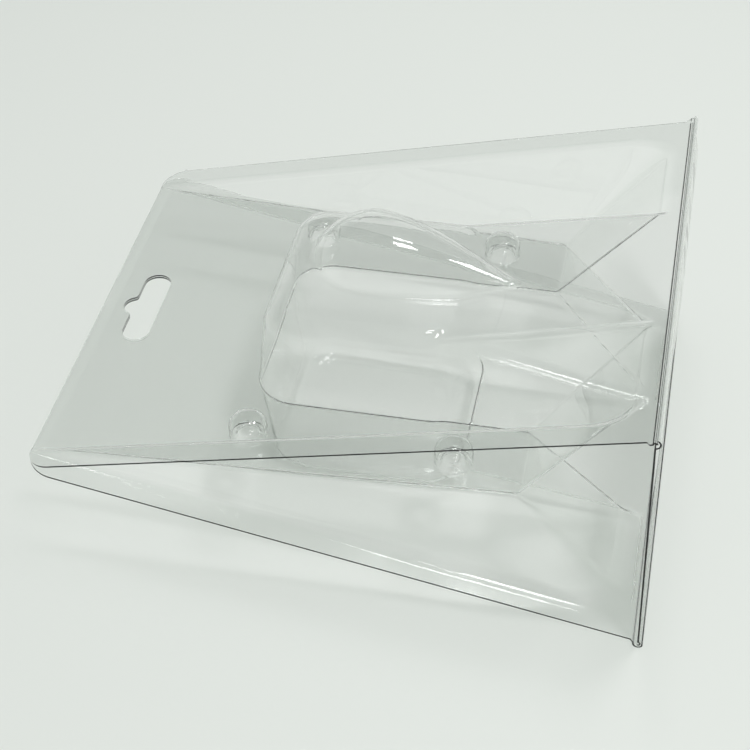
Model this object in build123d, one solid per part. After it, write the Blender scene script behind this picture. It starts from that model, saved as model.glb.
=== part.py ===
from build123d import *
import os
from math import asin, atan2, cos, degrees, hypot, radians, sin, sqrt, tan

# An empty tri-fold clamshell blister of clear plastic sheet: a front half and a back half lie back to back
# on their platforms, and a flat base panel joins their wide ends through two rolled fold beads.
# It is built about the plane where the platforms meet (z = 0), x from the narrow hanging end to the
# base, then turned and moved so that it lies on a table. All sizes are in millimetres.

# Sheet and outline
sheet = 0.5
platform_gap = 0.3
inner_width = 130.0
rim_width = 8.0
outline_corner = 8.0
front_angle = 13.2
back_angle = 11.5
front_length = 180.0
back_length = 181.0

# Recess of each half: the platform and the sloping walls that lead down to it
platform_length = 140.0
platform_end_width = 115.8
base_rim = 5.2
wall_corner = 4.0

# Product pocket of each half
pocket_start = 57.0
pocket_length = 64.0
pocket_width = 64.6
pocket_draft = 6.0
pocket_corner = 12.0
pocket_edge = 5.0
front_pocket_height = 27.0
back_pocket_height = 32.0

# Drop-shaped dome on the front pocket
dome_x = 87.0
dome_y = 7.2
dome_radius = 20.5
dome_height = 11.9
dome_tip_x = 130.0
dome_tip_y = -4.0
dome_tip_drop = 1.0

# Nose channel from the pocket to the base rim, its top flush with the rim
channel_foot_width = 63.0
channel_draft = 8.0
channel_edge = 1.5

# Snap buttons at the platform's corners
button_x = (60.0, 120.0)
button_y = (-48.0, 48.0)
female_radius = 5.6
female_height = 7.0
female_edge = 2.2
male_radius = 4.6
male_height = 3.5
male_draft = 30.0

# Hanging hole, a long slot with a round notch
slot_length = 32.0
slot_width = 8.5
slot_x = 14.0
slot_y = 2.0
notch_radius = 4.0
notch_x = 10.6

# Rolled fold beads between each half and the base panel
bead_radius = 1.6
bead_clearance = 0.3
bead_overhang = 1.0
bead_lap = 40.0

# How far helper solids reach past the part
reach = 60.0
low = -20.0

half_width = inner_width / 2
outer_half_width = half_width + rim_width
inner_bead = bead_radius - sheet - bead_clearance
end_gap = degrees((sheet / 2 + bead_clearance) / (bead_radius - sheet))


def rim_height(x, angle, offset):
    """Height of a half's rim above the middle plane at x, moved out by offset."""
    return platform_gap / 2 + x * tan(radians(angle)) + offset / cos(radians(angle))


def fold_point(length, angle):
    """Centre of the fold bead, on the middle of the rim's sheet."""
    a = radians(angle)
    mid = sheet / 2
    return length * cos(a) - mid * sin(a), platform_gap / 2 + length * sin(a) + mid * cos(a)


def below_rim(length, angle, offset):
    """Everything under the rim's plane, out to the outline's sides."""
    x0 = -reach / 2
    x1 = length * cos(radians(angle)) + reach / 4
    corners = [
        (x0, low + offset),
        (x1, low + offset),
        (x1, rim_height(x1, angle, offset)),
        (x0, rim_height(x0, angle, offset)),
    ]
    profile = Plane.XZ * make_face(Polyline(*corners, close=True))
    return extrude(profile, amount=outer_half_width + reach / 4, both=True)


def recess(length, angle, offset):
    """The hollow between the sloping walls, over the platform."""
    a = radians(angle)
    bend_x = (length - base_rim) * cos(a)
    bend_z = (length - base_rim) * sin(a)
    narrowing = (half_width - platform_end_width / 2) / platform_length
    side_slope = narrowing * bend_x / bend_z
    end_slope = (bend_x - platform_length) / bend_z
    side_shift = offset * sqrt(1 + narrowing**2 + side_slope**2)
    end_shift = offset * sqrt(1 + end_slope**2)

    def corners(z):
        rise = z - platform_gap / 2
        x0 = -reach / 2
        x1 = platform_length + end_slope * rise - end_shift
        y0 = half_width - narrowing * x0 + side_slope * rise - side_shift
        y1 = half_width - narrowing * x1 + side_slope * rise - side_shift
        return [(x0, -y0, z), (x1, -y1, z), (x1, y1, z), (x0, y0, z)]

    floor = corners(platform_gap / 2 + offset)
    mouth = corners(bend_z + reach / 2)
    outlines = [floor, mouth]
    for i in range(len(floor)):
        outlines.append([floor[i - 1], floor[i], mouth[i], mouth[i - 1]])
    body = Solid(Shell([Face(Wire.make_polygon(points, close=True)) for points in outlines]))
    ridges = body.faces().sort_by(Axis.X)[-1].edges().filter_by(lambda e: abs((e % 0.5).Z) > 0.1)
    return fillet(ridges, wall_corner - offset)


def pocket(height, offset):
    """The box-shaped bulge that holds the product."""
    spread = -low * tan(radians(pocket_draft)) + offset
    foot = RectangleRounded(pocket_length + 2 * spread, pocket_width + 2 * spread, pocket_corner + spread)
    foot = Pos(pocket_start + pocket_length / 2, 0, low + offset) * foot
    body = extrude(foot, amount=platform_gap / 2 + height - low, taper=pocket_draft)
    return fillet(body.faces().sort_by(Axis.Z)[-1].edges(), pocket_edge + offset)


def dome(angle, height, offset):
    """A shallow round dome with a tapering tail, made by turning a drop-shaped outline."""
    centre = Vector(dome_x, dome_y, platform_gap / 2 + height + dome_height - dome_radius)
    tip = Vector(dome_tip_x, dome_tip_y, rim_height(dome_tip_x, angle, 0) - dome_tip_drop)
    axis = tip - centre
    radius = dome_radius + offset
    taper = asin(dome_radius / axis.length)
    tip_at = axis.length + offset / sin(taper)
    touch = (radius * sin(taper), radius * cos(taper))
    outline = [
        Line((-radius, 0), (tip_at, 0)),
        Line((tip_at, 0), touch),
        RadiusArc(touch, (-radius, 0), -radius),
    ]
    plane = Plane(origin=centre, x_dir=axis.normalized(), z_dir=Vector(0, 0, 1).cross(axis).normalized())
    ball = revolve(plane * make_face(outline), Axis(centre, axis), 360)
    top_only = Pos(centre.X, centre.Y, platform_gap / 2 + reach) * Box(4 * reach, 4 * reach, 2 * reach)
    return ball & top_only


def channel(length, angle, offset):
    """The raised block between the pocket and the base rim."""
    slope = tan(radians(channel_draft))
    x0 = pocket_start + pocket_length / 2
    x1 = length * cos(radians(angle)) + reach / 4
    top = reach

    def half_at(z):
        return channel_foot_width / 2 - slope * z + offset / cos(radians(channel_draft))

    corners = [(-half_at(low + offset), low + offset), (half_at(low + offset), low + offset),
               (half_at(top), top), (-half_at(top), top)]
    profile = Plane(origin=(x0, 0, 0), x_dir=(0, 1, 0), z_dir=(1, 0, 0)) * make_face(Polyline(*corners, close=True))
    block = extrude(profile, amount=x1 - x0) & below_rim(length, angle, offset)
    top_edges = block.faces().sort_by(Axis.Z)[-1].edges().filter_by(lambda e: abs((e % 0.5).X) > 0.5)
    return fillet(top_edges, channel_edge + offset)


def female_button(x, y, offset):
    """A straight-walled snap button with a bevelled crown that stands out of the half."""
    height = female_height + platform_gap / 2 + offset
    body = Pos(x, y, (height + low) / 2) * Cylinder(female_radius - sheet + offset, height - low)
    return chamfer(body.faces().sort_by(Axis.Z)[-1].edges(), female_edge)


def male_button(x, y, offset):
    """The hollow of a low button that stands out of the half's back, into the other half's button."""
    depth = male_height - platform_gap / 2 - offset
    slope = tan(radians(male_draft))
    mouth = male_radius - offset / cos(radians(male_draft)) + offset * slope
    rise = reach / 4
    middle = (rise - depth) / 2
    return Pos(x, y, middle) * Cone(mouth - depth * slope, mouth + rise * slope, rise + depth)


def hanging_hole():
    """A tall cutter with the outline of the hanging hole."""
    slot = Pos(slot_x, slot_y) * Rot(0, 0, 90) * SlotOverall(slot_length, slot_width)
    notch = Pos(notch_x, slot_y) * Circle(notch_radius)
    return Pos(0, 0, low) * extrude(slot + notch, amount=-2 * low)


def outline(length, angle, roll):
    """The die-cut outline as a tall block, rounded at the narrow end and cut square to the rim at the fold."""
    a = radians(angle)
    fold_x, fold_z = fold_point(length, angle)
    end = roll - sheet / 2
    end_x = fold_x - end * cos(a)
    end_z = fold_z - end * sin(a)
    lean = tan(a)
    profile = make_face(
        Polyline((0, low * 1.5), (end_x - (low * 1.5 - end_z) * lean, low * 1.5),
                 (end_x - (reach - end_z) * lean, reach), (0, reach), close=True)
    )
    block = extrude(Plane.XZ * profile, amount=outer_half_width, both=True)
    narrow_end = block.faces().sort_by(Axis.X)[0].edges().filter_by(Axis.Z)
    return fillet(narrow_end, outline_corner)


def surface_solid(length, angle, height, is_front, offset):
    """Everything under the formed sheet's surface, moved out by offset."""
    solid = below_rim(length, angle, offset)
    hollow = recess(length, angle, offset) - channel(length, angle, offset) - pocket(height, offset)
    solid = solid - hollow + pocket(height, offset)
    if is_front:
        solid = solid + dome(angle, height, offset)
    for x in button_x:
        for y in button_y:
            if is_front:
                solid = solid + female_button(x, y, offset)
            else:
                solid = solid - male_button(x, y, offset)
    return solid


def arc_strip(centre, radius, start, end):
    """A rolled strip of sheet about a fold: radius is its outer face, angles are from +x towards +z."""
    inner = radius - sheet
    points = []
    for r in (radius, inner):
        for a in (start, (start + end) / 2, end):
            points.append((centre[0] + r * cos(radians(a)), centre[1] + r * sin(radians(a))))
    face = make_face([
        ThreePointArc(points[0], points[1], points[2]),
        Line(points[2], points[5]),
        ThreePointArc(points[5], points[4], points[3]),
        Line(points[3], points[0]),
    ])
    return extrude(Plane.XZ * face, amount=outer_half_width + bead_overhang, both=True)


def panel_folds():
    """The base panel's upper and lower folds, and its lean from the lower to the upper one."""
    top = fold_point(front_length, front_angle)
    foot = fold_point(back_length, back_angle)
    foot = (foot[0], -foot[1])
    return top, foot, degrees(atan2(top[1] - foot[1], top[0] - foot[0]))


def tuck(roll):
    """How far a roll's first end goes into the sheet it grows from."""
    return degrees(asin(0.45 * sheet / roll))


def formed_half(length, angle, height, is_front):
    """One half of the clamshell, standing out towards +z."""
    if is_front:
        roll = inner_bead
        roll_end = panel_folds()[2] - end_gap - bead_lap
    else:
        roll = bead_radius
        roll_end = angle + end_gap
    outside = surface_solid(length, angle, height, is_front, sheet)
    inside = surface_solid(length, angle, height, is_front, 0)
    half = (outside - inside) & outline(length, angle, roll)
    half = half - hanging_hole()
    return half + arc_strip(fold_point(length, angle), roll, 180 + angle + tuck(roll), roll_end)


def base_panel():
    """The flat base between the two folds, rolled over the front half's bead and into the back half's."""
    top, foot, lean = panel_folds()
    upper_end = bead_radius - sheet / 2
    lower_end = inner_bead - sheet / 2
    height = hypot(top[0] - foot[0], top[1] - foot[1])
    plate = Box(height - upper_end - lower_end, 2 * (outer_half_width + bead_overhang), sheet)
    middle = (height - upper_end + lower_end) / 2
    plate = Pos(foot[0], 0, foot[1]) * Rot(0, -lean, 0) * Pos(middle, 0, 0) * plate
    upper = arc_strip(top, bead_radius, lean - 180 - tuck(bead_radius), lean - end_gap)
    lower = arc_strip(foot, inner_bead, lean + tuck(inner_bead), -back_angle - end_gap - bead_lap)
    return plate + upper + lower


def resting_turn():
    """Angle about +y that lays the back pocket and the lower bead on the table."""
    foot = panel_folds()[1]
    slope = tan(radians(pocket_draft))
    pocket_low = platform_gap / 2 + back_pocket_height + sheet
    edge_radius = pocket_edge + sheet
    edge_x = pocket_start + slope * pocket_low + edge_radius
    dx = foot[0] - edge_x
    dz = foot[1] + pocket_low - edge_radius
    return degrees(asin((edge_radius - bead_radius) / hypot(dx, dz)) + atan2(dz, dx))


front = formed_half(front_length, front_angle, front_pocket_height, True)
back = mirror(formed_half(back_length, back_angle, back_pocket_height, False), about=Plane.XY)
panel = base_panel()

# Lay the part down, with the middle of its footprint at the origin
turn = Rot(0, resting_turn(), 0)
box = (turn * front).bounding_box().add((turn * back).bounding_box()).add((turn * panel).bounding_box())
place = Pos(-box.center().X, -box.center().Y, -box.min.Z) * turn

nodes = {"front_half": front, "back_half": back, "base_panel": panel}
os.makedirs("parts", exist_ok=True)
for name, shape in nodes.items():
    placed = place * shape
    export_step(placed, f"parts/{name}.step")
    size = placed.bounding_box()
    print(name, len(placed.solids()), round(placed.volume, 1), size.min, size.max)

top, foot, lean = panel_folds()
print("front fold", (place * Pos(top[0], 0, top[1])).position, "opens flat at", 180 + front_angle - lean)
print("back fold", (place * Pos(foot[0], 0, foot[1])).position, "opens flat at", lean + back_angle)
print("turn", resting_turn(), "origin of the middle plane", (place * Pos(0, 0, 0)).position)
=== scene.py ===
from math import atan2, cos, degrees, hypot, pi, radians, sin, sqrt, tan

import bpy
import numpy as np
from mathutils import Matrix, Vector


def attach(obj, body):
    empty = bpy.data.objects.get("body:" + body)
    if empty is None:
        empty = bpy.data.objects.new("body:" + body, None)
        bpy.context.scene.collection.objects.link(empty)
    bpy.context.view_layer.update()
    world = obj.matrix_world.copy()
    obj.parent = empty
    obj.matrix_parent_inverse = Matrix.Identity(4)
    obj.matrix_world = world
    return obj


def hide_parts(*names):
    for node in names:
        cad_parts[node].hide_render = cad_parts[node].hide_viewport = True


# An empty tri-fold clamshell blister of clear plastic. Its three CAD panels are replaced by formed
# sheets with rounded bends, worked out in millimetres about the plane where the platforms meet, then
# laid on the table.

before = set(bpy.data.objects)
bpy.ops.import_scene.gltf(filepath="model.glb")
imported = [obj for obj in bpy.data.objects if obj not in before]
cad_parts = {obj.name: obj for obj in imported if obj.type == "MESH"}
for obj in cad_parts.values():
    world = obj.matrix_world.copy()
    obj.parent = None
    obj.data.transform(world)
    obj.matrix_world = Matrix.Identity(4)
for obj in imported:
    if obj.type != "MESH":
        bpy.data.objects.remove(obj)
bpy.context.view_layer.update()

# Sizes shared with the CAD part, in millimetres and degrees
SHEET = 0.5
GAP = 0.3
HALF_WIDTH = 65.0
OUTER_HALF_WIDTH = 73.0
OUTLINE_CORNER = 8.0
FRONT = {"length": 180.0, "angle": 13.2, "pocket": 27.0, "edge": 5.8, "front": True}
BACK = {"length": 181.0, "angle": 11.5, "pocket": 32.0, "edge": 5.2, "front": False}
PLATFORM_LENGTH = 140.0
PLATFORM_END = 57.9
BASE_RIM = 5.2
POCKET_CENTRE = 89.0
POCKET_LENGTH = 64.0
POCKET_WIDTH = 64.6
POCKET_DRAFT = 6.0
POCKET_CORNER = 12.0
DOME_RADIUS = 20.5
CHANNEL_HALF = 31.5
CHANNEL_DRAFT = 8.0
BUTTON_X = (60.0, 120.0)
BUTTON_Y = (-48.0, 48.0)
FEMALE_RADIUS = 5.35
FEMALE_HEIGHT = 7.0
MALE_RADIUS = 4.6
MALE_HEIGHT = 3.5
BEAD_RADIUS = 1.6
BEAD_CLEARANCE = 0.3
BEAD_OVERHANG = 1.0
BEAD_LAP = 40.0
TURN = -2.78887618
ORIGIN = (-90.0605, 0.0, 29.4634)
HOLE_X = 14.0
HOLE_Y = 2.0
HOLE_LENGTH = 32.0
HOLE_WIDTH = 8.5
NOTCH_X = 10.6
NOTCH_RADIUS = 4.0
DOME_CENTRE = (86.6, 7.4)
DOME_TOP = 11.6
DOME_TIP = (131.0, -4.0)
DOME_TAPER = 1.4
MALE_WALL = 30.0
PANEL_BOW = 2.2
ROLL_BEND = 0.3

# Mesh steps and the most triangles that a half's middle surface keeps
STEP = 0.62
BLOCK = 4
MOST_TRIANGLES = 90000

INNER_BEAD = BEAD_RADIUS - SHEET - BEAD_CLEARANCE
END_GAP = degrees((SHEET / 2 + BEAD_CLEARANCE) / (BEAD_RADIUS - SHEET))


# Smooth joins of distance fields

def round_max(a, b, r):
    """The larger of two distance fields, with their edge rounded to about r."""
    corner = np.hypot(np.maximum(r + a, 0), np.maximum(r + b, 0))
    return np.minimum(-r, np.maximum(a, b)) + corner


def round_min(a, b, r):
    """The smaller of two distance fields, with the inside corner filled to about r."""
    return -round_max(-a, -b, r)


def ramp(x, a, b):
    """A smooth step from 0 at a to 1 at b."""
    t = np.clip((x - a) / (b - a), 0, 1)
    return t * t * (3 - 2 * t)


# The formed surface of a half, as a distance field that is negative below the sheet

def pocket_field(x, y, z, height, edge):
    slope = tan(radians(POCKET_DRAFT))
    corner = POCKET_CORNER - slope * z * 0.5
    qx = np.abs(x - POCKET_CENTRE) - (POCKET_LENGTH / 2 - slope * z) + corner
    qy = np.abs(y) - (POCKET_WIDTH / 2 - slope * z) + corner
    walls = np.hypot(np.maximum(qx, 0), np.maximum(qy, 0)) + np.minimum(np.maximum(qx, qy), 0) - corner
    walls = walls * cos(radians(POCKET_DRAFT))
    return round_max(walls, z - GAP / 2 - height, edge)


def drop_field(x, y, z):
    """The dome on the front pocket: a ball that tapers to a tip, with a slightly full flank."""
    radius = DOME_RADIUS
    centre = np.array([*DOME_CENTRE, GAP / 2 + FRONT["pocket"] + DOME_TOP - radius])
    tip = np.array([*DOME_TIP, GAP / 2 + DOME_TIP[0] * tan(radians(FRONT["angle"])) - 0.6])
    axis = tip - centre
    reach = np.linalg.norm(axis)
    axis = axis / reach
    px, py, pz = x - centre[0], y - centre[1], z - centre[2]
    along = px * axis[0] + py * axis[1] + pz * axis[2]
    across = np.sqrt(np.maximum(px**2 + py**2 + pz**2 - along**2, 1e-9))
    t = np.clip(along / reach, 0, 1)
    profile = radius * (1 - t**DOME_TAPER)
    slope = -radius * DOME_TAPER * t**(DOME_TAPER - 1) / reach
    flank = (across - profile) / np.sqrt(1 + slope**2)
    flank = np.where(along > reach, np.hypot(along - reach, across), flank)
    return np.where(along > 0, flank, np.hypot(along, across) - radius)


def half_field(x, y, z, half):
    """Distance to the inner face of a half's sheet, in its own upright position."""
    a = radians(half["angle"])
    bend_x = (half["length"] - BASE_RIM) * cos(a)
    bend_z = (half["length"] - BASE_RIM) * sin(a)
    rise = z - GAP / 2
    rim = rise * cos(a) - x * sin(a)
    narrowing = (HALF_WIDTH - PLATFORM_END) / PLATFORM_LENGTH
    side_slope = narrowing * bend_x / bend_z
    end_slope = (bend_x - PLATFORM_LENGTH) / bend_z
    side = np.abs(y) - (HALF_WIDTH - narrowing * x + side_slope * rise)
    side = side / sqrt(1 + narrowing**2 + side_slope**2)
    end = (x - (PLATFORM_LENGTH + end_slope * rise)) / sqrt(1 + end_slope**2)
    ridge = 1.5 + 0.2 * np.clip(rise, 0, 60)
    hollow = round_max(round_max(side, end, ridge), -rise, 1.2)
    foot = CHANNEL_HALF - tan(radians(CHANNEL_DRAFT)) * z
    channel = (np.abs(y) - foot) * cos(radians(CHANNEL_DRAFT))
    channel = round_max(channel, POCKET_CENTRE - x, 2.0)
    hollow = round_max(hollow, -channel, 1.0)
    rim_bend = 1.4 if half["front"] else 1.4 + 2.8 * ramp(x, 50, 125)
    solid = round_max(rim, -hollow, rim_bend)
    solid = round_min(solid, pocket_field(x, y, z, half["pocket"], half["edge"]), 1.0)
    if half["front"]:
        solid = round_min(solid, drop_field(x, y, z), 1.5)
    for bx in BUTTON_X:
        for by in BUTTON_Y:
            across = np.hypot(x - bx, y - by)
            if half["front"]:
                button = round_max(across - FEMALE_RADIUS + SHEET / 2, rise - FEMALE_HEIGHT, 3.2)
                solid = round_min(solid, button, 0.6)
            else:
                slope = tan(radians(MALE_WALL))
                wall = (across - MALE_RADIUS - slope * z) * cos(radians(MALE_WALL))
                button = round_max(wall, -z - MALE_HEIGHT + GAP / 2, 1.6)
                solid = round_max(solid, -button, 0.5)
    return solid


# Turning a distance field into a sheet

def sampled(field, axes):
    """Field values over a grid, worked out in full only in the blocks that the surface may cross."""
    full = []
    for a in axes:
        short = -(len(a) - 1) % BLOCK
        full.append(np.concatenate([a, a[-1] + (a[-1] - a[-2]) * np.arange(1, short + 1)]))
    ends = [a[::BLOCK] for a in full]
    coarse = field(ends[0][:, None, None], ends[1][None, :, None], ends[2][None, None, :])
    coarse = np.broadcast_to(coarse, [len(e) for e in ends])
    nearest = np.full([len(e) - 1 for e in ends], 1e9)
    for i in (0, 1):
        for j in (0, 1):
            for k in (0, 1):
                part = coarse[i:, j:, k:]
                part = part[:nearest.shape[0], :nearest.shape[1], :nearest.shape[2]]
                nearest = np.minimum(nearest, np.abs(part))
    close = np.argwhere(nearest < 1.1 * BLOCK * STEP)
    values = coarse[:-1, :-1, :-1]
    for axis in range(3):
        values = np.repeat(values, BLOCK, axis)
    values = np.pad(values, ((0, 1), (0, 1), (0, 1)), mode="edge")
    n = np.arange(BLOCK + 1)
    for cells in np.array_split(close, max(len(close) // 4000, 1)):
        gi = (cells[:, 0, None] * BLOCK + n)[:, :, None, None]
        gj = (cells[:, 1, None] * BLOCK + n)[:, None, :, None]
        gk = (cells[:, 2, None] * BLOCK + n)[:, None, None, :]
        values[gi, gj, gk] = field(full[0][gi], full[1][gj], full[2][gk])
    return values[:len(axes[0]), :len(axes[1]), :len(axes[2])]


def grid_surface(field, axes):
    """Quads on the zero of a field over a grid, one vertex for each cell that it crosses."""
    xs, ys, zs = axes
    values = sampled(field, axes)
    inside = values < 0
    count = np.zeros((len(xs) - 1, len(ys) - 1, len(zs) - 1), int)
    for i in (0, 1):
        for j in (0, 1):
            for k in (0, 1):
                count += inside[i:len(xs) - 1 + i, j:len(ys) - 1 + j, k:len(zs) - 1 + k]
    crossed = (count > 0) & (count < 8)
    cells = np.argwhere(crossed)
    index = np.full(crossed.shape, -1)
    index[crossed] = np.arange(len(cells))
    corners = {}
    places = {}
    for i in (0, 1):
        for j in (0, 1):
            for k in (0, 1):
                c = cells + (i, j, k)
                corners[i, j, k] = values[c[:, 0], c[:, 1], c[:, 2]]
                places[i, j, k] = np.stack([xs[c[:, 0]], ys[c[:, 1]], zs[c[:, 2]]], 1)
    total = np.zeros((len(cells), 3))
    found = np.zeros(len(cells))
    for a in corners:
        for axis in range(3):
            if a[axis] == 0:
                b = tuple(1 if n == axis else a[n] for n in range(3))
                va, vb = corners[a], corners[b]
                cross = (va < 0) != (vb < 0)
                t = np.where(cross, va / np.where(cross, va - vb, 1), 0)
                total += np.where(cross[:, None], places[a] + t[:, None] * (places[b] - places[a]), 0)
                found += cross
    points = total / found[:, None]
    quads = []
    for axis in range(3):
        u, v = [n for n in range(3) if n != axis]
        low = [slice(None)] * 3
        high = [slice(None)] * 3
        low[axis] = slice(0, -1)
        high[axis] = slice(1, None)
        change = inside[tuple(low)] != inside[tuple(high)]
        first = inside[tuple(low)]
        at = np.argwhere(change)
        at = at[(at[:, u] > 0) & (at[:, v] > 0)]
        at = at[(at[:, u] < inside.shape[u] - 1) & (at[:, v] < inside.shape[v] - 1)]
        ring = []
        for du, dv in ((1, 1), (0, 1), (0, 0), (1, 0)):
            c = at.copy()
            c[:, u] -= du
            c[:, v] -= dv
            ring.append(index[c[:, 0], c[:, 1], c[:, 2]])
        ring = np.stack(ring, 1)
        flip = first[at[:, 0], at[:, 1], at[:, 2]] == (axis == 1)
        ring[flip] = ring[flip][:, ::-1]
        quads.append(ring)
    return points, np.vstack(quads)


def gradient(field, points, step=0.02):
    """A field's slope at each point."""
    out = np.zeros_like(points)
    for n in range(3):
        d = np.zeros(3)
        d[n] = step
        out[:, n] = field(*(points + d).T) - field(*(points - d).T)
    return out / (2 * step)


def settle(field, points, quads, fixed, rounds):
    """Evens out the quads and keeps every vertex on the surface."""
    def project(p):
        for _ in range(3):
            g = gradient(field, p)
            move = field(*p.T) / np.maximum((g**2).sum(1), 0.2)
            p = p - np.clip(move, -0.8, 0.8)[:, None] * g
        return p

    points = project(points)
    edges = np.vstack([quads[:, [0, 1]], quads[:, [1, 2]], quads[:, [2, 3]], quads[:, [3, 0]]])
    edges = np.unique(np.sort(edges, 1), axis=0)
    degree = np.bincount(edges.ravel(), minlength=len(points))
    for _ in range(rounds):
        total = np.zeros_like(points)
        for n in range(3):
            total[:, n] += np.bincount(edges[:, 0], points[edges[:, 1], n], len(points))
            total[:, n] += np.bincount(edges[:, 1], points[edges[:, 0], n], len(points))
        mean = total / np.maximum(degree, 1)[:, None]
        points = points + 0.5 * (mean - points) * ~fixed(points)[:, None]
        points = project(points)
    return points


def clip(points, faces, values, place):
    """Keeps the part of a triangle mesh where values are negative. place finds the zero on an edge."""
    inside = values < 0
    n_in = inside[faces].sum(1)
    kept = [faces[n_in == 3]]
    made = {}
    extra = []

    def cut(a, b):
        key = (a, b) if a < b else (b, a)
        if key not in made:
            made[key] = len(points) + len(extra)
            extra.append(key)
        return made[key]

    for tri in faces[(n_in == 1) | (n_in == 2)]:
        flags = inside[tri]
        lone = int(np.argmax(flags)) if flags.sum() == 1 else int(np.argmin(flags))
        a, b, c = (int(tri[(lone + n) % 3]) for n in range(3))
        ab, ac = cut(a, b), cut(a, c)
        if flags.sum() == 1:
            kept.append([[a, ab, ac]])
        else:
            kept.append([[ab, b, c], [ab, c, ac]])
    pairs = np.array(extra)
    new = place(points[pairs[:, 0]], points[pairs[:, 1]])
    faces = np.vstack(kept)
    points = np.vstack([points, new])
    used = np.unique(faces)
    back = np.full(len(points), -1)
    back[used] = np.arange(len(used))
    return points[used], back[faces]


def cut_along(points, faces, distance):
    """Trims a triangle mesh to where distance(points) is negative."""
    values = distance(points)
    values = np.where(np.abs(values) < 1e-3, -1e-3, values)

    def place(a, b):
        low, high = np.zeros(len(a)), np.ones(len(a))
        sign = distance(a) < 0
        for _ in range(24):
            mid = (low + high) / 2
            same = (distance(a + mid[:, None] * (b - a)) < 0) == sign
            low = np.where(same, mid, low)
            high = np.where(same, high, mid)
        return a + low[:, None] * (b - a)

    return clip(points, faces, values, place)


def thinned(points, faces, keep, count):
    """Fewer triangles where the surface is flat: edges collapse until count are left, except about keep."""
    mesh = bpy.data.meshes.new("thin")
    mesh.from_pydata(points.tolist(), [], faces.tolist())
    obj = bpy.data.objects.new("thin", mesh)
    bpy.context.scene.collection.objects.link(obj)
    group = obj.vertex_groups.new(name="free")
    group.add(np.flatnonzero(~keep).tolist(), 1.0, "REPLACE")
    modifier = obj.modifiers.new("thin", "DECIMATE")
    modifier.ratio = count / len(faces)
    modifier.vertex_group = "free"
    modifier.use_collapse_triangulate = True
    done = obj.evaluated_get(bpy.context.evaluated_depsgraph_get()).to_mesh()
    out = np.empty(len(done.vertices) * 3)
    done.vertices.foreach_get("co", out)
    done.calc_loop_triangles()
    tris = np.empty(len(done.loop_triangles) * 3, int)
    done.loop_triangles.foreach_get("vertices", tris)
    obj.to_mesh_clear()
    bpy.data.objects.remove(obj)
    bpy.data.meshes.remove(mesh)
    return out.reshape(-1, 3), tris.reshape(-1, 3)


def triangle_sides(faces):
    return np.vstack([faces[:, [0, 1]], faces[:, [1, 2]], faces[:, [2, 0]]])


def bent_vertices(normals, faces):
    """Marks the vertices where the surface bends, and those next to them."""
    sides = triangle_sides(faces)
    change = np.linalg.norm(normals[sides[:, 0]] - normals[sides[:, 1]], axis=1)
    marks = np.zeros(len(normals), bool)
    marks[sides[change > 0.05].ravel()] = True
    marks[sides[marks[sides].any(1)].ravel()] = True
    return marks


def open_vertices(faces, count):
    """Marks the vertices on the edges that only one triangle has."""
    sides = np.sort(triangle_sides(faces), 1)
    sides, counts = np.unique(sides, axis=0, return_counts=True)
    marks = np.zeros(count, bool)
    marks[sides[counts == 1].ravel()] = True
    return marks


def laid_down(points):
    """From the plane where the platforms meet to the table, in metres."""
    c, s = cos(radians(TURN)), sin(radians(TURN))
    out = np.empty_like(points)
    out[:, 0] = points[:, 0] * c + points[:, 2] * s + ORIGIN[0]
    out[:, 1] = points[:, 1] + ORIGIN[1]
    out[:, 2] = -points[:, 0] * s + points[:, 2] * c + ORIGIN[2]
    return out / 1000


def sheet_object(name, middle, normals, faces, drawn_and_lit):
    """A closed sheet of even thickness about a middle surface, smooth with sharp cut edges.

    The last argument says for each vertex how far the sheet was pulled thin when it was formed, from 0 to
    1; the material also uses it as painted light, clearing the sheet where light gathers through the
    pocket."""
    n = len(middle)
    half = SHEET / 2
    points = np.vstack([middle + normals * half, middle - normals * half])
    top = faces
    under = faces[:, ::-1] + n
    directed = triangle_sides(faces)
    _, first, counts = np.unique(np.sort(directed, 1), axis=0, return_index=True, return_counts=True)
    rim = directed[first[counts == 1]]
    walls = np.stack([rim[:, 1], rim[:, 0], rim[:, 0] + n, rim[:, 1] + n], 1)
    mesh = bpy.data.meshes.new(name)
    all_faces = top.tolist() + under.tolist() + walls.tolist()
    mesh.from_pydata(laid_down(points).tolist(), [], all_faces)
    zero = laid_down(np.zeros((1, 3)))
    turned = (laid_down(normals) - zero) * 1000
    loops = np.vstack([turned[top.ravel()], -turned[top[:, ::-1].ravel()]])
    mesh.shade_smooth()
    wall_normals = np.repeat(np.array([p.normal for p in mesh.polygons[-len(walls):]]), 4, axis=0)
    mesh.normals_split_custom_set(np.vstack([loops, wall_normals]).tolist())
    # This per-vertex value carries painted light along with the forming stretch: the material clears the
    # sheet by it.
    stretch_and_light = mesh.attributes.new("drawn_and_lit", "FLOAT", "POINT")
    stretch_and_light.data.foreach_set("value", np.tile(drawn_and_lit, 2).astype(np.float32))
    obj = bpy.data.objects.new(name, mesh)
    bpy.context.scene.collection.objects.link(obj)
    return obj


# Rolled folds

def fold_point(half):
    a = radians(half["angle"])
    mid = SHEET / 2
    return half["length"] * cos(a) - mid * sin(a), GAP / 2 + half["length"] * sin(a) + mid * cos(a)


TOP_FOLD = fold_point(FRONT)
FOOT_FOLD = (fold_point(BACK)[0], -fold_point(BACK)[1])
LEAN = degrees(atan2(TOP_FOLD[1] - FOOT_FOLD[1], TOP_FOLD[0] - FOOT_FOLD[0]))


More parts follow.
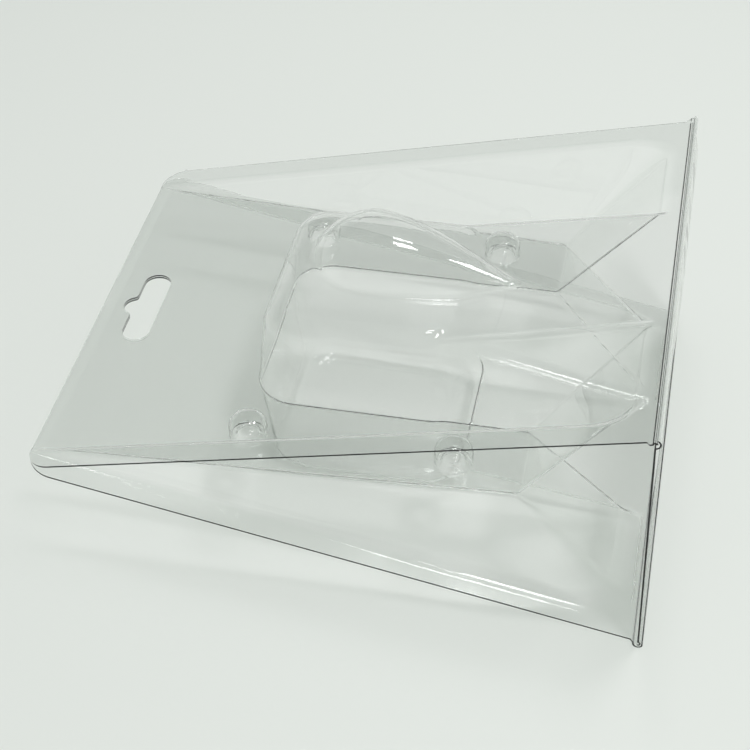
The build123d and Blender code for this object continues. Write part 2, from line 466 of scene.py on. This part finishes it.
def roll_path(distance, radius, sweep, bend):
    """Where a flat strip's point goes when its end is rolled.

    distance is measured along the strip from the fold's centre (negative before it), radius is the roll's,
    sweep its angle and bend the small bend that leads into it. Returns the place along the strip, the
    height above it and the sheet's slope, all about the fold's centre."""
    start = -radius - bend
    s = np.asarray(distance, float) - start
    quarter = bend * pi / 2
    flat = s <= 0
    in_bend = (s > 0) & (s <= quarter)
    turn = np.clip(s / bend, 0, pi / 2)
    x = np.where(flat, start + s, start + bend * np.sin(turn))
    h = np.where(flat, 0, bend * (1 - np.cos(turn)))
    lead = np.arcsin(min(bend / radius, 1.0))
    arc = np.clip((s - quarter) / radius, 0, radians(sweep))
    rolled = ~flat & ~in_bend
    angle = pi - lead - arc
    x = np.where(rolled, radius * np.cos(angle) - (radius * cos(pi - lead) + radius), x)
    h = np.where(rolled, radius * np.sin(angle) - radius * sin(pi - lead) + bend, h)
    tilt = np.where(flat, 0, np.where(in_bend, turn, pi / 2 - lead - arc))
    return x, h, tilt


def steps(low, high, step):
    return np.linspace(low, high, max(int(round((high - low) / step)), 1) + 1)


def join_steps(*parts):
    out = [parts[0]]
    for p in parts[1:]:
        out.append(p[1:])
    return np.concatenate(out)


def triangles(quads):
    return np.vstack([quads[:, [0, 1, 2]], quads[:, [0, 2, 3]]])


def formed_half(half, name):
    """One half of the clamshell as a sheet, its end rolled about the fold."""
    a = radians(half["angle"])
    length = half["length"]
    roll = (INNER_BEAD if half["front"] else BEAD_RADIUS) - SHEET / 2
    bend = ROLL_BEND
    if half["front"]:
        sweep = 180 + half["angle"] - (LEAN - END_GAP - BEAD_LAP)
    else:
        sweep = 180 + half["angle"] - (half["angle"] + END_GAP)
    strip = length - roll - bend + bend * pi / 2 + radians(sweep) * roll
    flat_from = length - 3.0

    def to_upright(p):
        """From rim coordinates (along, across, out) to the middle plane's."""
        x = p[0] * cos(a) - p[2] * sin(a)
        z = p[0] * sin(a) + p[2] * cos(a) + GAP / 2
        return x, p[1], z

    def field(s, y, n):
        x, y2, z = to_upright((s, y, n))
        formed = half_field(x, y2, z, half) - SHEET / 2
        blend = ramp(s, length - 3.6, length - 2.6)
        return formed * (1 - blend) + (n - SHEET / 2) * blend

    along = join_steps(steps(-2, length - 3, STEP), steps(length - 3, strip + 1, 0.2))
    across = steps(-75, 75, STEP)
    out = steps(-44, 20, STEP)
    points, quads = grid_surface(field, (along, across, out))

    def edge_zone(p):
        return (p[:, 0] > flat_from - 1) | (np.abs(p[:, 1]) > 74) | (p[:, 0] < -1)

    points = settle(field, points, quads, edge_zone, 4)
    faces = triangles(quads)

    def outline_distance(p):
        s = p[:, 0]
        side = np.abs(p[:, 1]) - OUTER_HALF_WIDTH - BEAD_OVERHANG * ramp(s, length - 2.4, length - 1.4)
        qx = -s + OUTLINE_CORNER
        qy = side + OUTLINE_CORNER
        corner = np.hypot(np.maximum(qx, 0), np.maximum(qy, 0)) + np.minimum(np.maximum(qx, qy), 0)
        return np.maximum(corner - OUTLINE_CORNER, s - strip)

    def hole_distance(p):
        x, y, _ = to_upright((p[:, 0], p[:, 1], p[:, 2]))
        past_end = np.maximum(np.abs(y - HOLE_Y) - (HOLE_LENGTH - HOLE_WIDTH) / 2, 0)
        slot = np.hypot(x - HOLE_X, past_end) - HOLE_WIDTH / 2
        notch = np.hypot(x - NOTCH_X, y - HOLE_Y) - NOTCH_RADIUS
        return -round_min(slot, notch, 0.8)

    points, faces = cut_along(points, faces, outline_distance)
    points, faces = cut_along(points, faces, hole_distance)
    normals = gradient(field, points)
    normals /= np.linalg.norm(normals, axis=1)[:, None]
    kept = (points[:, 0] > length - 2.8) | open_vertices(faces, len(points))
    firm = kept | bent_vertices(normals, faces)
    stay = firm[faces].any(1).sum()
    count = min(stay + 0.08 * (len(faces) - stay), MOST_TRIANGLES)
    points, faces = thinned(points, faces, firm, count)
    kept = (points[:, 0] > length - 2.8) | open_vertices(faces, len(points))
    for _ in range(2):
        slope = gradient(field, points)
        move = field(*points.T) / np.maximum((slope**2).sum(1), 0.2)
        points = points - (np.clip(move, -0.3, 0.3) * ~kept)[:, None] * slope
    normals = gradient(field, points)
    normals /= np.linalg.norm(normals, axis=1)[:, None]
    rolled = points[:, 0] > length - roll - bend
    x, h, tilt = roll_path(points[:, 0] - length, roll, sweep, bend)
    points = points.copy()
    points[rolled, 0] = length + x[rolled]
    points[rolled, 2] = SHEET / 2 + h[rolled]
    normals[rolled, 0] = -np.sin(tilt[rolled])
    normals[rolled, 1] = 0
    normals[rolled, 2] = np.cos(tilt[rolled])
    sign = 1 if half["front"] else -1
    x, y, z = to_upright(points.T)
    pocket = ramp(x, 52, 60) * ramp(-np.abs(y), -38, -31) * ramp(z, 1, 16)
    # Painted light and real thinning: the pocket and steep walls are marked clearer, standing in for the
    # light that gathers through the pocket as well as for the thinner sheet there.
    drawn_and_lit = np.maximum(pocket, ramp(np.abs(normals[:, 1]), 0.3, 0.7))
    turned = []
    for q, shift in ((points, GAP / 2), (normals, 0.0)):
        x = q[:, 0] * cos(a) - q[:, 2] * sin(a)
        z = q[:, 0] * sin(a) + q[:, 2] * cos(a) + shift
        turned.append(np.stack([x, q[:, 1], z * sign], 1))
    if sign < 0:
        faces = faces[:, ::-1]
    return sheet_object(name, turned[0], turned[1], faces, drawn_and_lit)


def base_sheet(name):
    """The base panel, slightly bowed, its upper end rolled over the front half's bead and its lower end
    into the back half's."""
    height = hypot(TOP_FOLD[0] - FOOT_FOLD[0], TOP_FOLD[1] - FOOT_FOLD[1])
    upper = BEAD_RADIUS - SHEET / 2
    lower = INNER_BEAD - SHEET / 2
    bend = ROLL_BEND
    upper_sweep = 180 - END_GAP
    lower_sweep = LEAN + BACK["angle"] + END_GAP + BEAD_LAP
    up = height - upper - bend + bend * pi / 2 + radians(upper_sweep) * upper
    down = -(-lower - bend + bend * pi / 2 + radians(lower_sweep) * lower)
    along = join_steps(steps(down, 2.0, 0.2), steps(2.0, height - 2.5, 1.5), steps(height - 2.5, up, 0.2))
    across = steps(-OUTER_HALF_WIDTH - BEAD_OVERHANG, OUTER_HALF_WIDTH + BEAD_OVERHANG, 2.0)
    s, y = [m.ravel() for m in np.meshgrid(along, across, indexing="ij")]
    x = s.copy()
    h = np.zeros_like(s)
    tilt = np.zeros_like(s)
    top = s > height / 2
    place = roll_path(s[top] - height, upper, upper_sweep, bend)
    x[top], h[top], tilt[top] = height + place[0], place[1], place[2]
    place = roll_path(-s[~top], lower, lower_sweep, bend)
    x[~top], h[~top], tilt[~top] = -place[0], place[1], -place[2]
    u = np.clip(s / (height - upper - bend), 0, 1)
    bow = PANEL_BOW * ramp(y, -70, 20) / 0.0819
    h += bow * u**4 * (1 - u)
    tilt += np.arctan(bow * (4 * u**3 - 5 * u**4) / height) * (u > 0) * (u < 1)
    lean = radians(LEAN)
    along_dir = np.array([cos(lean), sin(lean)])
    out_dir = np.array([sin(lean), -cos(lean)])
    px = FOOT_FOLD[0] + x * along_dir[0] + h * out_dir[0]
    pz = FOOT_FOLD[1] + x * along_dir[1] + h * out_dir[1]
    points = np.stack([px, y, pz], 1)
    nx = -np.sin(tilt) * along_dir[0] + np.cos(tilt) * out_dir[0]
    nz = -np.sin(tilt) * along_dir[1] + np.cos(tilt) * out_dir[1]
    normals = np.stack([nx, np.zeros_like(nx), nz], 1)
    cells = np.meshgrid(np.arange(len(along) - 1), np.arange(len(across) - 1), indexing="ij")
    i, j = [m.ravel() for m in cells]
    corner = i * len(across) + j
    quads = np.stack([corner, corner + 1, corner + len(across) + 1, corner + len(across)], 1)
    return sheet_object(name, points, normals, triangles(quads), np.zeros(len(points)))


# Materials

def clear_plastic():
    """Clear sheet: clearer where it is deep-formed, partly for real thinning and partly as painted light
    standing in for the light that gathers through the pocket; a little uneven, and darker through its
    edges.
    """
    material = bpy.data.materials.new("clear_plastic")
    material.use_nodes = True
    nodes, links = material.node_tree.nodes, material.node_tree.links
    shader = nodes["Principled BSDF"]
    shader.inputs["IOR"].default_value = 1.5
    shader.inputs["Transmission Weight"].default_value = 1.0

    # Painted light and real thinning: the tint clears where the sheet was pulled thin, standing in for the
    # light that gathers through the pocket.
    drawn_and_lit = nodes.new("ShaderNodeAttribute")
    drawn_and_lit.attribute_name = "drawn_and_lit"
    colour = nodes.new("ShaderNodeMix")
    colour.data_type = "RGBA"
    colour.inputs["A"].default_value = (0.952, 0.961, 0.953, 1)
    colour.inputs["B"].default_value = (1.0, 1.0, 1.0, 1)
    links.new(drawn_and_lit.outputs["Fac"], colour.inputs["Factor"])
    links.new(colour.outputs["Result"], shader.inputs["Base Color"])

    where = nodes.new("ShaderNodeTexCoord")
    haze = nodes.new("ShaderNodeTexNoise")
    haze.inputs["Scale"].default_value = 38.0
    haze.inputs["Detail"].default_value = 2.0
    links.new(where.outputs["Object"], haze.inputs["Vector"])
    rough = nodes.new("ShaderNodeMapRange")
    rough.inputs["From Min"].default_value = 0.35
    rough.inputs["From Max"].default_value = 0.75
    rough.inputs["To Min"].default_value = 0.012
    rough.inputs["To Max"].default_value = 0.045
    links.new(haze.outputs["Fac"], rough.inputs["Value"])
    links.new(rough.outputs["Result"], shader.inputs["Roughness"])

    waves = nodes.new("ShaderNodeTexNoise")
    waves.inputs["Scale"].default_value = 55.0
    waves.inputs["Detail"].default_value = 1.0
    links.new(where.outputs["Object"], waves.inputs["Vector"])
    bump = nodes.new("ShaderNodeBump")
    bump.inputs["Strength"].default_value = 0.35
    bump.inputs["Distance"].default_value = 0.0002
    links.new(waves.outputs["Fac"], bump.inputs["Height"])
    links.new(bump.outputs["Normal"], shader.inputs["Normal"])

    facing = nodes.new("ShaderNodeFresnel")
    facing.inputs["IOR"].default_value = 1.5
    steep = nodes.new("ShaderNodeMapRange")
    steep.inputs["From Min"].default_value = 0.06
    steep.inputs["From Max"].default_value = 0.7
    links.new(facing.outputs["Fac"], steep.inputs["Value"])
    shade = nodes.new("ShaderNodeMix")
    shade.data_type = "RGBA"
    shade.inputs["A"].default_value = (1, 1, 1, 1)
    shade.inputs["B"].default_value = (0.78, 0.79, 0.78, 1)
    links.new(steep.outputs["Result"], shade.inputs["Factor"])
    passing = nodes.new("ShaderNodeBsdfTransparent")
    links.new(shade.outputs["Result"], passing.inputs["Color"])
    path = nodes.new("ShaderNodeLightPath")
    mix = nodes.new("ShaderNodeMixShader")
    straight = nodes.new("ShaderNodeMath")
    straight.operation = "MAXIMUM"
    links.new(path.outputs["Is Shadow Ray"], straight.inputs[0])
    links.new(path.outputs["Is Diffuse Ray"], straight.inputs[1])
    links.new(straight.outputs["Value"], mix.inputs["Fac"])
    links.new(shader.outputs["BSDF"], mix.inputs[1])
    links.new(passing.outputs["BSDF"], mix.inputs[2])
    links.new(mix.outputs["Shader"], nodes["Material Output"].inputs["Surface"])

    tint = nodes.new("ShaderNodeVolumeAbsorption")
    tint.inputs["Color"].default_value = (0.5, 0.58, 0.52, 1)
    tint.inputs["Density"].default_value = 40.0
    links.new(tint.outputs["Volume"], nodes["Material Output"].inputs["Volume"])
    return material


def table_material():
    material = bpy.data.materials.new("table")
    material.use_nodes = True
    shader = material.node_tree.nodes["Principled BSDF"]
    shader.inputs["Base Color"].default_value = (0.78, 0.81, 0.775, 1)
    shader.inputs["Roughness"].default_value = 0.6
    shader.inputs["Specular IOR Level"].default_value = 0.2
    return material


plastic = clear_plastic()
pieces = {
    "front": (formed_half(FRONT, "front_sheet"), "front_half"),
    "back": (formed_half(BACK, "back_sheet"), "back_half"),
    "base": (base_sheet("base_sheet"), "base_panel"),
}
for body, (piece, node) in pieces.items():
    piece.data.materials.append(plastic)
    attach(piece, body)
    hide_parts(node)

# Floor
mesh = bpy.data.meshes.new("table")
mesh.from_pydata([(-4, -4, 0), (4, -4, 0), (4, 4, 0), (-4, 4, 0)], [], [(0, 1, 2, 3)])
table = bpy.data.objects.new("table", mesh)
bpy.context.scene.collection.objects.link(table)
table.data.materials.append(table_material())

# World
world = bpy.data.worlds.new("room")
bpy.context.scene.world = world
world.use_nodes = True
room = world.node_tree.nodes["Background"]
direction = world.node_tree.nodes.new("ShaderNodeTexCoord")
height = world.node_tree.nodes.new("ShaderNodeSeparateXYZ")
sky = world.node_tree.nodes.new("ShaderNodeValToRGB")
sky.color_ramp.elements[0].position = 0.12
sky.color_ramp.elements[0].color = (0.74, 0.77, 0.74, 1)
sky.color_ramp.elements[1].position = 0.5
sky.color_ramp.elements[1].color = (0.28, 0.291, 0.285, 1)
join = world.node_tree.links.new
join(direction.outputs["Generated"], height.inputs[0])
join(height.outputs["Z"], sky.inputs["Fac"])
join(sky.outputs["Color"], room.inputs["Color"])


def lamp(name, place, aim, size, power, size_y=None):
    light = bpy.data.lights.new(name, "AREA")
    light.energy = power
    light.size = size
    if size_y:
        light.shape = "RECTANGLE"
        light.size_y = size_y
    obj = bpy.data.objects.new(name, light)
    obj.location = place
    obj.rotation_euler = (Vector(aim) - Vector(place)).to_track_quat("-Z", "Y").to_euler()
    bpy.context.scene.collection.objects.link(obj)
    return obj


key = lamp("key", (0.36, -0.4, 1.28), (0, 0, 0), 0.18, 7.0, 0.18)
key.visible_glossy = False
lamp("window", (0.27, 0.38, 1.235), (0, 0, 0), 0.31, 4.6, 0.2)
lamp("window_left", (-0.12, 0.38, 1.235), (0, 0, 0), 0.13, 0.95, 0.12)
lamp("window_top", (-0.11, 0.62, 1.16), (0, 0, 0), 0.12, 0.38, 0.05)

cycles = bpy.context.scene.cycles
cycles.max_bounces = 20
cycles.transmission_bounces = 20
cycles.glossy_bounces = 6
cycles.diffuse_bounces = 2
cycles.transparent_max_bounces = 32
# The light that passes through the sheets reaches the table by the shadow rays, so it isn't counted twice
cycles.caustics_reflective = False
cycles.caustics_refractive = False

# Camera, from a fit to the photograph's outline corners
CAMERA_FROM = (172.55, -390.14, 345.71)
VIEW = np.array([
    [0.98003768, 0.19802747, -0.017643],
    [0.11988516, -0.65943182, -0.74214367],
    [-0.15859919, 0.72521362, -0.67000858],
])
FOCAL_PIXELS = 1720.98
camera_data = bpy.data.cameras.new("camera")
camera_data.sensor_width = 36.0
camera_data.lens = FOCAL_PIXELS / 750 * 36.0
camera = bpy.data.objects.new("camera", camera_data)
bpy.context.scene.collection.objects.link(camera)
right, down, ahead = VIEW
base = laid_down(np.zeros((1, 3)))
axes = np.stack([(laid_down(v[None]) - base)[0] * 1000 for v in (right, -down, -ahead)], 1)
place = laid_down(np.array([CAMERA_FROM]))[0]
camera.matrix_world = Matrix.Translation(place.tolist()) @ Matrix(axes.tolist()).to_4x4()
bpy.context.scene.camera = camera
bpy.context.scene.view_settings.view_transform = "Standard"

bpy.context.view_layer.update()
